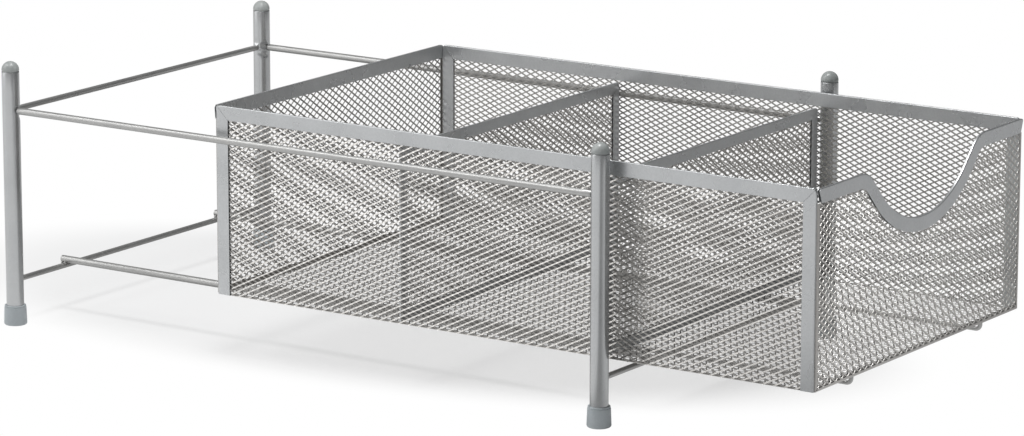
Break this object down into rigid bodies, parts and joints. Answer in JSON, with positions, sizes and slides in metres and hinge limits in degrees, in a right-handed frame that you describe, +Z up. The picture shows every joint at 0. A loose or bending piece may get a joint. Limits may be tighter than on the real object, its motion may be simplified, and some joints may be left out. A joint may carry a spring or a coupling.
{
  "type": "sliding drawer organiser",
  "caption": "Low steel frame on capped posts with an open mesh drawer that slides out along two rails, with dividers and a scooped front.",
  "frame": {"origin": "on the floor under the middle of the whole object's box, with the drawer drawn part way out as at rest", "axes": "+Z up, the drawer draws out along -Y, +X to the right of someone who faces the object's back from its front"},
  "size_m": [0.3158, 0.6722, 0.1936],
  "materials": {
    "post_paint": "satin silver-grey paint on round tube",
    "rod_paint": "satin silver-grey paint on round rod",
    "mesh_paint": "silver-grey paint on expanded steel mesh",
    "strip_paint": "satin silver-grey paint on folded sheet strip",
    "cap_plastic": "smooth grey moulded plastic",
    "foot_plastic": "smooth blue-grey moulded plastic"
  },
  "bodies": {
    "frame": {"front_left_post": "post_paint", "front_left_cap": "cap_plastic", "front_left_foot": "foot_plastic", "front_right_post": "post_paint", "front_right_cap": "cap_plastic", "front_right_foot": "foot_plastic", "rear_left_post": "post_paint", "rear_left_cap": "cap_plastic", "rear_left_foot": "foot_plastic", "rear_right_post": "post_paint", "rear_right_cap": "cap_plastic", "rear_right_foot": "foot_plastic", "left_side_rod": "rod_paint", "right_side_rod": "rod_paint", "rear_upper_rod": "rod_paint", "front_cross_rod": "rod_paint", "rear_cross_rod": "rod_paint", "left_rail": "rod_paint", "right_rail": "rod_paint"},
    "drawer": {"base_mesh": "mesh_paint", "front_mesh": "mesh_paint", "rear_mesh": "mesh_paint", "left_mesh": "mesh_paint", "right_mesh": "mesh_paint", "front_divider_mesh": "mesh_paint", "rear_divider_mesh": "mesh_paint", "front_rim_strip": "strip_paint", "rear_rim_strip": "strip_paint", "left_rim_strip": "strip_paint", "left_front_edge_strip": "strip_paint", "left_rear_edge_strip": "strip_paint", "right_rim_strip": "strip_paint", "right_front_edge_strip": "strip_paint", "right_rear_edge_strip": "strip_paint", "front_divider_rim_strip": "strip_paint", "front_divider_left_strip": "strip_paint", "front_divider_right_strip": "strip_paint", "front_divider_foot_strip": "strip_paint", "rear_divider_rim_strip": "strip_paint", "rear_divider_left_strip": "strip_paint", "rear_divider_right_strip": "strip_paint", "rear_divider_foot_strip": "strip_paint", "left_runner_wire": "rod_paint", "right_runner_wire": "rod_paint"}
  },
  "joints": [
    {"name": "drawer_slide", "type": "slide", "parent": "frame", "child": "drawer", "axis": [0, -1, 0], "range_m": [-0.172, 0.073]}
  ]
}
